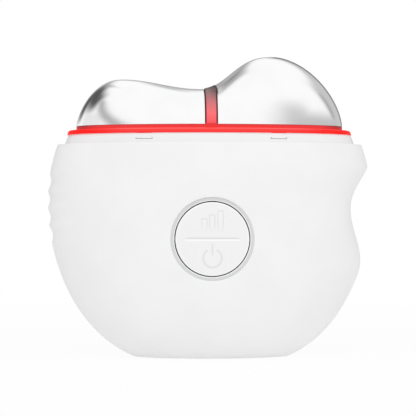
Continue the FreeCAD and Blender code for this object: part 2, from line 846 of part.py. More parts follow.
def make_heat_sensor():
    """A bead of the temperature sensor under the crown of the high lobe."""
    cover = size("lobe_wall") + size("film_bond") + size("film_thickness")
    ceiling = place("lobe_base") + crown_rise(place("sensor_x")) - cover
    node("heat_sensor", rod("heat_sensor", "y", "sizes.sensor_radius", "-sizes.sensor_length / 2",
                            "sizes.sensor_length / 2", x="places.sensor_x",
                            z=f"{ceiling} - sizes.sensor_radius - sizes.fit_gap"))


# Plan of the pieces that drop into the collar
COLLAR_FIT = ("places.hole_half_width - sizes.fit_gap", "places.hole_half_depth - sizes.fit_gap")


# Light frame: red translucent flange, band and dividing rib in one moulding

def make_light_frame():
    inner = ("places.head_half_width - sizes.band_wall", "places.head_half_depth - sizes.band_wall")
    flange = oval("flange", "places.flange_half_width", "places.flange_half_depth", "places.collar_top",
                  "places.flange_top")
    rounded = fillet("flange_rounded", flange, size("flange_round"),
                     lambda edge: edge.BoundBox.ZMin > place("flange_top") - size("fit_gap"))
    band = oval("band", "places.head_half_width", "places.head_half_depth", "places.collar_top",
                "places.lobe_base")
    spigot = oval("spigot", *COLLAR_FIT, "places.head_base_top", "places.collar_top")
    clear = oval("band_clear", *inner, "places.head_base_top - sizes.band_rise",
                 "places.lobe_base + sizes.band_rise")
    ring = cut("frame_ring", fuse("frame_blank", [rounded, band, spigot]), [clear])
    rib_width = ("-sizes.divider_width / 2", "sizes.divider_width / 2")
    rib_space = box("rib_space", rib_width, DEEP, ("places.lobe_base - sizes.band_rise", TALL[1]))
    rib_top = common("rib_top", head_form("rib_form", size("divider_inset")), rib_space)
    foot_space = box("rib_foot_space", rib_width, DEEP,
                     ("places.lobe_base - sizes.divider_foot", "places.lobe_base"))
    rib_foot = common("rib_foot", band, foot_space)
    footed = fuse("frame_footed", [ring, rib_foot])
    return node("light_frame", fuse("light_frame", [footed, rib_top]))


# Head base: white carrier plate with screw holes, snap hooks and the motor's cradle

def make_head_base():
    plate = oval("base_plate", *COLLAR_FIT, "places.head_base_bottom", "places.head_base_top")
    half_hook = "(sizes.window_width / 2 - sizes.window_gap)"
    hook_levels = ("places.collar_top - sizes.window_drop + sizes.window_gap",
                   "places.collar_top - sizes.fit_gap")
    nose = fuse("hook_noses", [
        box(f"{name}_nose", (f"{x} - {half_hook}", f"{x} + {half_hook}"), depth, hook_levels)
        for name, x, depth in WINDOWS
    ])
    tongue_space = box("tongue_space", WIDE, DEEP,
                       ("places.collar_top - sizes.window_drop", "places.head_base_top"))
    within_collar = oval("within_collar", "places.hole_half_width", "places.hole_half_depth",
                         "places.head_base_bottom", "places.flange_top")
    inside_plate = oval("inside_plate", "places.hole_half_width - sizes.hook_root",
                        "places.hole_half_depth - sizes.hook_root",
                        "places.head_base_bottom", "places.flange_top")
    trimmed = common("hooks_trimmed", nose, collar_outer)
    noses = cut("hook_ends", trimmed, [within_collar])
    tongues = cut("hook_tongues", common("hook_low", trimmed, tongue_space), [inside_plate])
    half_cradle = "sizes.motor_radius + sizes.boot_wall + sizes.cradle_wall"
    cradle = box("cradle", ("sizes.motor_start + sizes.cradle_wall",
                            "sizes.motor_start + sizes.cradle_wall + sizes.boot_length"),
                 (f"-({half_cradle})", half_cradle),
                 (f"places.motor_height - ({half_cradle})", "places.head_base_bottom"))
    bore = rod("cradle_bore", "x", "sizes.motor_radius + sizes.boot_wall", WIDE[0], WIDE[1],
               z="places.motor_height")
    holes = []
    for lobe in LOBES:
        holes += lobe_bosses(lobe, "base_hole", "sizes.small_screw_radius + sizes.fit_gap",
                             "places.head_base_bottom", "places.head_base_top")
    whole = fuse("base_whole", [plate, noses, tongues, cradle])
    drilled = cut("base_drilled", whole, holes)
    return node("head_base", cut("head_base", drilled, [bore]))


def make_head_screws():
    screws = []
    for lobe in LOBES:
        heads = lobe_bosses(lobe, "screw_head", "sizes.small_head_radius",
                            "places.head_base_bottom - sizes.small_head_height", "places.head_base_bottom")
        shanks = lobe_bosses(lobe, "screw_shank", "sizes.small_screw_radius", "places.head_base_bottom",
                             "places.head_base_bottom + sizes.small_screw_length")
        screws += [fuse(f"{head.Name}_screw", [head, shank]) for head, shank in zip(heads, shanks)]
    node("head_screws", group("head_screws", screws))


# Ring board with the red lights, on the head base inside the band

def make_lights():
    outer = ("places.head_half_width - sizes.band_wall - sizes.led_board_gap",
             "places.head_half_depth - sizes.band_wall - sizes.led_board_gap")
    top = "places.head_base_top + sizes.board_thickness"
    blank = oval("led_board_blank", *outer, "places.head_base_top", top)
    inner = [f"{formula} - sizes.led_board_width" for formula in outer]
    hole = oval("led_board_hole", *inner, "places.head_base_bottom", "places.lobe_base")
    node("led_board", cut("led_board", blank, [hole]))
    middle_x = f"({outer[0]} - sizes.led_board_width / 2)"
    middle_y = f"({outer[1]} - sizes.led_board_width / 2)"
    lights = []
    for index in range(LEDS):
        angle = 360 * (index + 0.5) / LEDS
        x = f"{middle_x} * cos({angle} deg)"
        y = f"{middle_y} * sin({angle} deg)"
        along = (f"{x} - sizes.led_length / 2", f"{x} + sizes.led_length / 2")
        across = (f"{y} - sizes.led_width / 2", f"{y} + sizes.led_width / 2")
        lights.append(box(f"led_{index + 1}", along, across, (top, f"{top} + sizes.led_height")))
    node("red_leds", group("red_leds", lights))


# Vibration motor in its rubber boot, with the off-centre weight on its shaft

def make_motor():
    middle = {"z": "places.motor_height"}
    case = rod("motor_case", "x", "sizes.motor_radius", "sizes.motor_start", "places.motor_end", **middle)
    bush = rod("motor_bush", "x", "sizes.bush_radius", "places.motor_end",
               "places.motor_end + sizes.bush_length", **middle)
    weight_start = "places.motor_end + 2 * sizes.bush_length"
    weight_end = f"{weight_start} + sizes.weight_length"
    shaft_start = f"{weight_end} - sizes.shaft_length"
    bore = rod("motor_bore", "x", "sizes.shaft_radius + sizes.running_gap",
               f"{shaft_start} - sizes.running_gap", weight_end, **middle)
    node("vibration_motor", cut("vibration_motor", fuse("motor_whole", [case, bush]), [bore]))
    node("motor_shaft", rod("motor_shaft", "x", "sizes.shaft_radius", shaft_start, weight_end, **middle))
    half_disc = rod("weight_half", "x", "sizes.weight_radius", weight_start, weight_end, **middle)
    half_disc.Angle = 180
    hub = rod("weight_hub", "x", "sizes.weight_hub_radius", weight_start, weight_end, **middle)
    hole = rod("weight_hole", "x", "sizes.shaft_radius", weight_start, weight_end, **middle)
    node("eccentric_weight", cut("eccentric_weight", fuse("weight_whole", [half_disc, hub]), [hole]))
    boot_start = "sizes.motor_start + sizes.cradle_wall"
    sleeve = rod("boot_outer", "x", "sizes.motor_radius + sizes.boot_wall", boot_start,
                 f"{boot_start} + sizes.boot_length", **middle)
    inside = rod("boot_inner", "x", "sizes.motor_radius", WIDE[0], WIDE[1], **middle)
    node("motor_boot", cut("motor_boot", sleeve, [inside]))


# Button: grey bezel ring with pivot ears, steel pin and the rocking cap

def make_button_bezel():
    body = front_body("button_bezel")
    flange = new_sketch(body, "flange", "XY_Plane")
    draw_disc(flange, "sizes.bezel_radius")
    pad(body, flange, "sizes.bezel_flange", back=True)
    sleeve = new_sketch(body, "sleeve", "XY_Plane")
    draw_disc(sleeve, "places.sleeve_radius")
    pad(body, sleeve, "sizes.bezel_flange + sizes.sleeve_depth", back=True)
    opening = new_sketch(body, "opening", "XY_Plane")
    draw_disc(opening, "sizes.button_radius + sizes.button_gap")
    pocket(body, opening, "2 * (sizes.bezel_flange + sizes.sleeve_depth)")
    inner_radius = size("button_radius") + size("button_gap")
    round_edges(body, "Chamfer", "sizes.bezel_chamfer", lambda edge: is_ring(edge, inner_radius, 0.0))
    ears = new_sketch(body, "ears", "XY_Plane", "-places.cap_back - sizes.button_edge")
    ear_inner = "(sizes.lug_half_length + sizes.button_gap)"
    ear_outer = "(places.sleeve_radius - sizes.sleeve_wall / 4)"
    for sign in (-1, 1):
        draw_rectangle(ears, f"{ear_outer} - {ear_inner}", "2 * sizes.lug_half_width",
                       x=f"{sign} * ({ear_outer} + {ear_inner}) / 2")
    ear_depth = "sizes.bezel_flange + sizes.sleeve_depth - places.cap_back - sizes.button_edge"
    pad(body, ears, ear_depth, back=True)
    pin_hole = new_sketch(body, "pin_hole", "YZ_Plane")
    draw_disc(pin_hole, "sizes.pin_radius", y="-sizes.pivot_depth")
    pocket(body, pin_hole, "2 * sizes.pin_half_length", midplane=True)


def make_pivot_pin():
    body = front_body("pivot_pin")
    outline = new_sketch(body, "outline", "YZ_Plane")
    draw_disc(outline, "sizes.pin_radius", y="-sizes.pivot_depth")
    pad(body, outline, "2 * sizes.pin_half_length", midplane=True)


def make_button_cap():
    body = front_body("button_cap")
    disc = new_sketch(body, "disc", "XY_Plane", "sizes.cap_proud")
    draw_disc(disc, "sizes.button_radius")
    pad(body, disc, "sizes.cap_thickness", back=True)
    round_edges(body, "Fillet", "sizes.button_edge",
                lambda edge: is_ring(edge, size("button_radius"), size("cap_proud")))
    lug = new_sketch(body, "lug", "XY_Plane", "-places.cap_back")
    draw_rectangle(lug, "2 * sizes.lug_half_length", "2 * sizes.lug_half_width")
    pad(body, lug, "sizes.pivot_depth + sizes.pin_radius + sizes.lug_wall - places.cap_back", back=True)
    posts = new_sketch(body, "posts", "XY_Plane", "-places.cap_back")
    for sign in (-1, 1):
        draw_disc(posts, "sizes.post_radius", y=f"{sign} * sizes.switch_spacing / 2")
    pad(body, posts, "sizes.plunger_depth - sizes.plunger_touch - places.cap_back", back=True)
    bore = new_sketch(body, "bore", "YZ_Plane")
    draw_disc(bore, "sizes.pin_radius + sizes.running_gap", y="-sizes.pivot_depth")
    pocket(body, bore, "4 * sizes.lug_half_length", midplane=True)


# Switches behind the button's two posts, with plungers that travel

def make_switch(level, sign):
    height = f"sizes.button_height + {sign} * sizes.switch_spacing / 2"
    switch = front_body(f"{level}_switch", height)
    case = new_sketch(switch, "case", "XY_Plane", "-places.switch_front")
    draw_rectangle(case, "sizes.switch_width", "sizes.switch_width")
    pad(switch, case, "sizes.switch_depth", back=True)
    well = new_sketch(switch, "well", "XY_Plane", "-places.switch_front")
    draw_disc(well, "sizes.plunger_radius + sizes.running_gap")
    pocket(switch, well, "sizes.plunger_sunk + sizes.plunger_travel")
    plunger = front_body(f"{level}_plunger", height)
    stem = new_sketch(plunger, "stem", "XY_Plane", "-sizes.plunger_depth")
    draw_disc(stem, "sizes.plunger_radius")
    pad(plunger, stem, "sizes.plunger_rise + sizes.plunger_sunk", back=True)
    round_edges(plunger, "Fillet", "sizes.plunger_edge",
                lambda edge: is_ring(edge, size("plunger_radius"), -size("plunger_depth")))


# Control board on the front shell's bosses, its chips and its screws

def make_main_board():
    body = front_body("main_board")
    outline = new_sketch(body, "outline", "XY_Plane", "-places.board_front")
    draw_rectangle(outline, "sizes.main_board_width", "sizes.main_board_height")
    pad(body, outline, "sizes.board_thickness", back=True)
    holes = new_sketch(body, "holes", "XY_Plane", "-places.board_front")
    for sign in (-1, 1):
        for rise in (-1, 1):
            draw_disc(holes, "sizes.small_screw_radius + sizes.fit_gap", x=f"{sign} * places.board_hole_x",
                      y=f"{rise} * places.board_hole_z")
    pocket(body, holes, "2 * sizes.board_thickness")
    back = f"{BOARD_FACE} + sizes.board_thickness"
    chips = []
    for name, (x, z, wide, tall) in CHIPS.items():
        across = (f"{x - wide / 2}", f"{x + wide / 2}")
        upwards = (f"sizes.button_height + {z - tall / 2}", f"sizes.button_height + {z + tall / 2}")
        chips.append(box(name, across, (back, f"{back} + sizes.chip_height"), upwards))
    node("board_chips", group("board_chips", chips))
    screws = []
    for name, x, z in BOARD_SCREWS:
        head = rod(f"{name}_head", "y", "sizes.small_head_radius", back,
                   f"{back} + sizes.small_head_height", x=x, z=z)
        shank = rod(f"{name}_shank", "y", "sizes.small_screw_radius",
                    f"{back} - sizes.small_screw_length", back, x=x, z=z)
        screws.append(fuse(f"{name}_screw", [head, shank]))
    node("board_screws", group("board_screws", screws))


# Battery on its foam pad against the rear shell's ribs

def make_battery():
    body = new_body("battery", y="places.battery_back", z="sizes.battery_bottom + sizes.battery_height / 2",
                    turn=FACING_FRONT)
    outline = new_sketch(body, "outline", "XY_Plane")
    draw_rectangle(outline, "sizes.battery_width", "sizes.battery_height")
    pad(body, outline, "sizes.battery_thickness")
    round_edges(body, "Fillet", "sizes.battery_round",
                lambda edge: abs(edge.Vertexes[0].Z - edge.Vertexes[-1].Z) < 1e-6 and edge.Length > 1
                and abs(edge.Vertexes[0].Y - edge.Vertexes[-1].Y) > 1)
    node("battery_pad", box("battery_pad",
                            ("sizes.pad_margin - sizes.battery_width / 2",
                             "sizes.battery_width / 2 - sizes.pad_margin"),
                            ("places.battery_back", "places.rib_front"),
                            ("sizes.battery_bottom + sizes.pad_margin",
                             "sizes.battery_bottom + sizes.battery_height - sizes.pad_margin")))


# Charging inlet: a small board on two posts, with the socket looking out of the back

def make_charging_inlet():
    board = new_body("charge_board", y="sizes.charge_board_front + sizes.charge_board_length / 2",
                     z="sizes.charge_board_height")
    outline = new_sketch(board, "outline", "XY_Plane")
    draw_rectangle(outline, "sizes.charge_board_width", "sizes.charge_board_length")
    pad(board, outline, "sizes.board_thickness")
    holes = new_sketch(board, "holes", "XY_Plane", "sizes.board_thickness")
    for sign in (-1, 1):
        draw_disc(holes, "sizes.small_screw_radius + sizes.fit_gap", x=f"{sign} * sizes.charge_post_x",
                  y="sizes.charge_post_y - sizes.charge_board_front - sizes.charge_board_length / 2")
    pocket(board, holes, "2 * sizes.board_thickness")
    socket = new_body("usb_socket", y="places.usb_mouth", z="places.usb_middle",
                      turn=Rotation(Vector(1, 0, 0), -90))
    case = new_sketch(socket, "case", "XY_Plane")
    draw_rectangle(case, "sizes.usb_width", "sizes.usb_height")
    pad(socket, case, "sizes.usb_length", back=True)
    round_edges(socket, "Fillet", "sizes.usb_corner",
                lambda edge: abs(edge.Vertexes[0].Z - edge.Vertexes[-1].Z) > 1)
    mouth = new_sketch(socket, "mouth", "XY_Plane")
    draw_rectangle(mouth, "sizes.usb_width - 2 * sizes.usb_wall", "sizes.usb_height - 2 * sizes.usb_wall")
    pocket(socket, mouth, "sizes.usb_mouth_depth")
    tongue = new_sketch(socket, "tongue", "XY_Plane", "-sizes.usb_mouth_depth")
    draw_rectangle(tongue, "sizes.usb_tongue_width", "sizes.usb_tongue_height")
    pad(socket, tongue, "sizes.usb_mouth_depth - sizes.usb_wall")
    screws = []
    for side, sign in (("left", -1), ("right", 1)):
        at = {"x": f"{sign} * sizes.charge_post_x", "y": "sizes.charge_post_y"}
        head = rod(f"charge_{side}_head", "z", "sizes.small_head_radius", "places.usb_bottom",
                   "places.usb_bottom + sizes.small_head_height", **at)
        shank = rod(f"charge_{side}_shank", "z", "sizes.small_screw_radius",
                    "places.usb_bottom - sizes.small_screw_length + sizes.small_head_height",
                    "places.usb_bottom", **at)
        screws.append(fuse(f"charge_{side}_screw", [head, shank]))
    node("charge_screws", group("charge_screws", screws))


make_front_shell()
make_rear_shell()
make_shell_screws()
make_top_collar()
for lobe_name in LOBES:
    make_lobe(lobe_name)
make_heat_sensor()
make_light_frame()
make_head_base()
make_head_screws()
make_lights()
make_motor()
make_button_bezel()
make_pivot_pin()
make_button_cap()
make_switch("upper", 1)
make_switch("lower", -1)
make_main_board()
make_battery()
make_charging_inlet()

doc.recompute()
faults = [thing.Name for thing in doc.Objects if {"Invalid", "Error"} & set(thing.State)]
for label, thing in nodes.items():
    if thing.Shape.isNull() or not thing.Shape.isValid() or not thing.Shape.Solids:
        faults.append(label)
if faults:
    raise RuntimeError(f"failed: {faults}")
os.makedirs("parts", exist_ok=True)
for label, thing in nodes.items():
    thing.Shape.exportStep(f"parts/{label}.step")
    print(label, len(thing.Shape.Solids), round(thing.Shape.Volume, 2))
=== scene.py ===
import math

import bmesh
import bpy
from mathutils import Matrix, Vector


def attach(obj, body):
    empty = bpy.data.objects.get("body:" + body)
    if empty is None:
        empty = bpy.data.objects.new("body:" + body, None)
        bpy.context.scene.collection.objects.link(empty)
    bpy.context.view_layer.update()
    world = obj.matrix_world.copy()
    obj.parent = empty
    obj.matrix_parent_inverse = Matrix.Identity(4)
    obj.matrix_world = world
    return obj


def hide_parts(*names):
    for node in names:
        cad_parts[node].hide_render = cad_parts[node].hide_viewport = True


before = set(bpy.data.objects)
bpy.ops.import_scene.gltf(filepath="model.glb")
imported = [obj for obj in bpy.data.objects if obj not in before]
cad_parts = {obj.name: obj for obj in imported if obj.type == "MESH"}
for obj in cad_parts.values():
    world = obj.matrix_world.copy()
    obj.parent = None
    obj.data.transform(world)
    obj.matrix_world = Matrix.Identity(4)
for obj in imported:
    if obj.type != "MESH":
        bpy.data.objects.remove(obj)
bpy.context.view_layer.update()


# Front and rear shells: the two halves of the palm-sized body, moulded in satin white plastic.
# They meet in a fine seam down both sides and are screwed together from behind, and the right
# side is dished for a finger while the left side has shallow grip grooves.
MM = 0.001
BODY_TOP = 52.9
SHELL_TOP = 52.68
SHELL_WALL = 1.6
SHELL_EDGE = 0.12
AROUND = 256


class Flow:
    """A value on its way through a material: sums and products on it add the nodes they need."""

    def __init__(self, tree, socket):
        self.tree = tree
        self.socket = socket

    def node(self, kind, settings=None, sockets=None, out=0):
        made = self.tree.nodes.new(kind)
        for name, value in (settings or {}).items():
            if name == "stops":
                ramp = made.color_ramp
                while len(ramp.elements) < len(value):
                    ramp.elements.new(1.0)
                for stop, (position, color) in zip(ramp.elements, value):
                    stop.position = position
                    stop.color = color
            else:
                setattr(made, name, value)
        for key, value in (sockets or {}).items():
            if isinstance(value, Flow):
                self.tree.links.new(value.socket, made.inputs[key])
            else:
                made.inputs[key].default_value = value
        return Flow(self.tree, made.outputs[out])

    def into(self, socket):
        self.tree.links.new(self.socket, socket)

    def maths(self, operation, first, second):
        return self.node("ShaderNodeMath", {"operation": operation}, {0: first, 1: second})

    def __add__(self, other):
        return self.maths("ADD", self, other)

    def __radd__(self, other):
        return self.maths("ADD", other, self)

    def __sub__(self, other):
        return self.maths("SUBTRACT", self, other)

    def __rsub__(self, other):
        return self.maths("SUBTRACT", other, self)

    def __mul__(self, other):
        return self.maths("MULTIPLY", self, other)

    def __rmul__(self, other):
        return self.maths("MULTIPLY", other, self)

    def __truediv__(self, other):
        return self.maths("DIVIDE", self, other)

    def __pow__(self, other):
        return self.maths("POWER", self, other)

    def __abs__(self):
        return self.maths("ABSOLUTE", self, 0.0)

    def hypot(self, other):
        return (self * self + other * other) ** 0.5

    def least(self, other):
        return self.maths("MINIMUM", self, other)

    def most(self, other):
        return self.maths("MAXIMUM", self, other)

    def ease(self, low, high, start=0.0, end=1.0):
        """Runs from start to end, with soft ends, as the value runs from low to high."""
        return self.node("ShaderNodeMapRange", {"interpolation_type": "SMOOTHSTEP"},
                         {"Value": self, "From Min": low, "From Max": high,
                          "To Min": start, "To Max": end})

    def tint(self, first, second):
        """The first colour where the value is 0 and the second where it is 1."""
        return self.node("ShaderNodeMix", {"data_type": "RGBA"},
                         {0: self, 6: first, 7: second}, out=2)

    def parts(self):
        split = self.tree.nodes.new("ShaderNodeSeparateXYZ")
        self.tree.links.new(self.socket, split.inputs[0])
        return [Flow(self.tree, out) for out in split.outputs]

    def noise(self, scale, detail=2.0):
        return self.node("ShaderNodeTexNoise", None,
                         {"Vector": self, "Scale": scale, "Detail": detail})

    def bump(self, height, strength, distance):
        return self.node("ShaderNodeBump", None,
                         {"Height": height, "Strength": strength, "Distance": distance})


def new_finish(name, **constants):
    """A new material, its shader with the constant values set, and its Object coordinates."""
    material = bpy.data.materials.new(name)
    material.use_nodes = True
    tree = material.node_tree
    shader = tree.nodes["Principled BSDF"]
    for socket, value in constants.items():
        shader.inputs[socket.replace("_", " ")].default_value = value
    place = Flow(tree, tree.nodes.new("ShaderNodeTexCoord").outputs["Object"])
    return material, shader, place


def moulded_plastic(name, color, rough, grain=0.2):
    """Moulded plastic with a fine eroded grain, faint clouds of tone and slightly uneven gloss."""
    material, shader, place = new_finish(name, IOR=1.46, Specular_IOR_Level=0.35)
    cloud = place.noise(90.0, 3.0)
    speck = place.noise(6000.0, 2.0)
    pale = [min(1.0, channel * 1.012) for channel in color]
    deep = [channel * 0.988 for channel in color]
    cloud.ease(0.3, 0.7).tint((*deep, 1.0), (*pale, 1.0)).into(shader.inputs["Base Color"])
    (rough - 0.05 + 0.06 * cloud + 0.04 * speck).into(shader.inputs["Roughness"])
    place.bump(speck, grain, 0.00001).into(shader.inputs["Normal"])
    return material


FULLNESS = 2.7


def swell(z, base, belly, belly_at, mouth, power):
    """Half size of the body at a height: a full curve up to the belly, a soft fall to the mouth."""
    if z < belly_at:
        reach = belly_at / (1 - (base / belly) ** FULLNESS) ** (1 / power)
        return belly * (1 - ((belly_at - z) / reach) ** power) ** (1 / FULLNESS)
    return belly - (belly - mouth) * ((z - belly_at) / (BODY_TOP - belly_at)) ** 2


def half_width(z):
    return swell(z, base=19.0, belly=40.35, belly_at=38.5, mouth=37.8, power=1.9)


def half_depth(z):
    return swell(z, base=8.5, belly=21.2, belly_at=31.0, mouth=18.8, power=2.6)


REST_MIDDLE = 37.2
REST_ABOVE = 9.9
REST_BELOW = 17.0
REST_DEEP = 5.2
REST_TURN = 4


def finger_rest(z):
    """How deep the right side is dished at a height: steep above, gentle below."""
    above = (z - REST_MIDDLE) / REST_ABOVE
    below = (REST_MIDDLE - z) / REST_BELOW
    if above >= 1 or below >= 1:
        return 0.0
    if above >= 0:
        return REST_DEEP * math.cos(math.pi / 2 * above) ** 1.15
    return REST_DEEP * math.cos(math.pi / 2 * below) ** 2


def right_swell(z):
    """How much fuller the right side is at a height, most of all near the base."""
    all_over, at_base, fades_at = 0.15, 0.6, 14.0
    return all_over + at_base * max(0.0, 1 - z / fades_at)


def grip(y, z):
    """How deep the grip grooves bite the left side."""
    middle, pitch, reach, deep = 36.8, 4.3, 12.0, 0.6
    across = (z - middle) / pitch
    if abs(across) >= 2 or abs(y) >= reach:
        return 0.0
    return deep * abs(math.cos(math.pi * (across - 0.5))) ** 1.3 * (1 - (y / reach) ** 2)


def skin_point(side, front, z, inset=0.0):
    """A point of the body, or of a form inside it, from a point of the unit circle and a height."""
    step = 0.01
    lean_width = (half_width(z + step) - half_width(z)) / step
    lean_depth = (half_depth(z + step) - half_depth(z)) / step
    x = (half_width(z) - inset * math.hypot(1, lean_width)) * side
    y = (half_depth(z) - inset * math.hypot(1, lean_depth)) * front
    x += (right_swell(z) - finger_rest(z)) * max(side, 0.0) ** REST_TURN
    if side < 0:
        x += grip(y, z)
    return Vector((x, y, z))


def skin_depth(x, z):
    """How far the skin lies in front of the middle, or behind it, at a place of the front view."""
    side = x / half_width(z)
    for _ in range(5):
        pulled = (finger_rest(z) - right_swell(z)) * max(side, 0.0) ** REST_TURN
        side = (x + pulled) / half_width(z)
    return half_depth(z) * math.sqrt(1 - side ** 2)


def tower(segments, levels, matrix=Matrix.Identity(4)):
    """A round wall of unit radius, ring upon ring, ready to be shaped."""
    bm = bmesh.new()
    bmesh.ops.create_circle(bm, segments=segments, radius=1.0)
    bmesh.ops.translate(bm, verts=bm.verts, vec=(0, 0, levels[0]))
    edges = bm.edges[:]
    for low, high in zip(levels, levels[1:]):
        grown = bmesh.ops.extrude_edge_only(bm, edges=edges)["geom"]
        edges = [part for part in grown
                 if isinstance(part, bmesh.types.BMEdge) and part.is_boundary]
        fresh = [part for part in grown if isinstance(part, bmesh.types.BMVert)]
        bmesh.ops.translate(bm, verts=fresh, vec=(0, 0, high - low))
    bmesh.ops.transform(bm, matrix=matrix, verts=bm.verts)
    return bm


WELD = 1e-7


def slice_at(bm, point, outwards, drop=False):
    """Cuts a mesh along a plane, and can drop what lies in front of it."""
    bmesh.ops.bisect_plane(bm, geom=bm.verts[:] + bm.edges[:] + bm.faces[:], dist=WELD,
                           plane_co=point, plane_no=outwards, clear_outer=drop)


def open_hole(bm, facing, middle, wide, tall, corner):
    """Opens the skin along a rounded outline and ties the skin to its edge."""
    margin = 0.9
    before = {edge for edge in bm.edges if edge.is_boundary}
    inside = []
    for face in bm.faces:
        spot = face.calc_center_median() / MM
        x = max(abs(spot.x - middle[0]) - (wide - corner), 0.0)
        z = max(abs(spot.z - middle[1]) - (tall - corner), 0.0)
        if facing * spot.y > 0.5 and math.hypot(x, z) < corner + margin:
            inside.append(face)
    bmesh.ops.delete(bm, geom=inside, context="FACES")
    torn = [edge for edge in bm.edges if edge.is_boundary and edge not in before]
    ring = bmesh.ops.create_circle(bm, segments=96, radius=corner)["verts"]
    for vert in ring:
        x = middle[0] + vert.co.x + math.copysign(wide - corner, vert.co.x)
        z = middle[1] + vert.co.y + math.copysign(tall - corner, vert.co.y)
        vert.co = Vector((x, facing * skin_depth(x, z), z)) * MM
    edge_ring = list({edge for vert in ring for edge in vert.link_edges})
    bmesh.ops.bridge_loops(bm, edges=torn + edge_ring)


SHARP_ANGLE = math.radians(35.0)
EDGE_ANGLE = math.radians(50.0)


def add_piece(name, bm, material, body, node, wall=0.0, edge=0.0):
    """Gives a skin its wall and eased edges, and makes it the piece that stands for a solid."""
    bmesh.ops.recalc_face_normals(bm, faces=bm.faces)
    mesh = bpy.data.meshes.new(name)
    bm.to_mesh(mesh)
    bm.free()
    mesh.materials.append(material)
    piece = bpy.data.objects.new(name, mesh)
    bpy.context.collection.objects.link(piece)
    if wall:
        thick = piece.modifiers.new("wall", "SOLIDIFY")
        thick.thickness = wall * MM
        thick.offset = -1.0
    if edge:
        ease = piece.modifiers.new("edge", "BEVEL")
        ease.width = edge * MM
        ease.segments = 2
        ease.limit_method = "ANGLE"
        ease.angle_limit = EDGE_ANGLE
        ease.use_clamp_overlap = False
    if piece.modifiers:
        graph = bpy.context.evaluated_depsgraph_get()
        piece.data = bpy.data.meshes.new_from_object(piece.evaluated_get(graph))
        piece.modifiers.clear()
        bpy.data.meshes.remove(mesh)
        piece.data.name = name
    piece.data.shade_smooth()
    piece.data.set_sharp_from_angle(angle=SHARP_ANGLE)
    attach(piece, body)
    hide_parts(node)


shell_plastic = moulded_plastic("satin_white_plastic", (0.89, 0.89, 0.893), 0.58)


def shell_half(facing):
    """One half of the body's skin, cut along the seam, with the base closed."""
    rings = 110
    levels = [SHELL_TOP * (step / rings) ** 1.15 for step in range(rings + 1)]
    bm = tower(AROUND, levels)
    for vert in bm.verts:
        vert.co = skin_point(vert.co.x, vert.co.y, vert.co.z) * MM
    foot = [edge for edge in bm.edges if edge.is_boundary and edge.verts[0].co.z < 0.1 * MM]
    bmesh.ops.contextual_create(bm, geom=foot)
    slice_at(bm, (0, 0, 0), (0, -facing, 0), drop=True)
    return bm


BUTTON_MIDDLE = 29.5
BUTTON_OPENING = 9.99
front_bm = shell_half(-1)
open_hole(front_bm, -1, (0.0, BUTTON_MIDDLE), BUTTON_OPENING, BUTTON_OPENING, BUTTON_OPENING)
add_piece("front_shell_moulding", front_bm, shell_plastic, "housing", "front_shell",
          SHELL_WALL, SHELL_EDGE)

INLET_LEVEL = 8.63
INLET_WIDE = 4.62
INLET_TALL = 1.78
INLET_CORNER = 1.45
PLUG_OPENING = 2.03
PLUG_PLACES = [(x, z) for x in (-27.0, 27.0) for z in (16.0, 41.0)]
rear_bm = shell_half(1)
open_hole(rear_bm, 1, (0.0, INLET_LEVEL), INLET_WIDE, INLET_TALL, INLET_CORNER)
for place in PLUG_PLACES:
    open_hole(rear_bm, 1, place, PLUG_OPENING, PLUG_OPENING, PLUG_OPENING)
add_piece("rear_shell_moulding", rear_bm, shell_plastic, "housing", "rear_shell",
          SHELL_WALL, SHELL_EDGE)


# Top collar: a white moulded ring that fills the mouth of the shells and carries the head.
# Four windows in its upper edge take the head's snap hooks.
COLLAR_FOOT = 46.8
COLLAR_TOP = 55.05
COLLAR_INSET = 1.7
COLLAR_WALL = 1.9
COLLAR_RINGS = 16
WINDOW_MIDDLE = 16.24
WINDOW_HALF = 1.84
WINDOW_FOOT = COLLAR_TOP - 1.5
CORNER_HALF = 2.0
CORNER_TOP = WINDOW_FOOT + 0.4

collar_plastic = moulded_plastic("smooth_white_plastic", (0.885, 0.885, 0.89), 0.34, 0.1)
collar_bm = tower(AROUND, [COLLAR_FOOT + (COLLAR_TOP - COLLAR_FOOT) * step / COLLAR_RINGS
                           for step in range(COLLAR_RINGS + 1)])
for vert in collar_bm.verts:
    vert.co = skin_point(vert.co.x, vert.co.y, vert.co.z, COLLAR_INSET) * MM
window_sides = [side * (WINDOW_MIDDLE + reach) for side in (-1, 1)
                for reach in (-CORNER_HALF, -WINDOW_HALF, WINDOW_HALF, CORNER_HALF)]
window_cuts = [((x * MM, 0, 0), (1, 0, 0)) for x in window_sides]
window_cuts += [((0, 0, z * MM), (0, 0, 1)) for z in (WINDOW_FOOT, CORNER_TOP)]
for point, across in window_cuts:
    slice_at(collar_bm, point, across)
windows = []
for face in collar_bm.faces:
    spot = face.calc_center_median() / MM
    reach = CORNER_HALF if spot.z < CORNER_TOP else WINDOW_HALF
    if abs(abs(spot.x) - WINDOW_MIDDLE) < reach and spot.z > WINDOW_FOOT:
        windows.append(face)
bmesh.ops.delete(collar_bm, geom=windows, context="FACES")
add_piece("top_collar_moulding", collar_bm, collar_plastic, "housing", "top_collar",
          COLLAR_WALL)


# Light frame: one red translucent moulding of a rounded flange, a raised band and the rib that
# parts the lobes. Lights under the band make the flange glow, and that glow, fading up the rib,
# is painted into the moulding's colour and emission.
FLANGE_HALF = (35.5, 16.75)
LOBE_BASE = 57.2
HEAD_HALF = (33.2, 14.45)
RIB_HALF = 1.4
RIB_STEPS = 10
RIB_PROUD = 0.12
RIB_ROUND = 0.9
LOW_PEAK = 11.7
VALLEY = 9.35
HIGH_PEAK = 17.45
IN_MM = 1000.0


def wave(share):
    """A soft rise from 0 to 1."""
    return (1 - math.cos(math.pi * share)) / 2


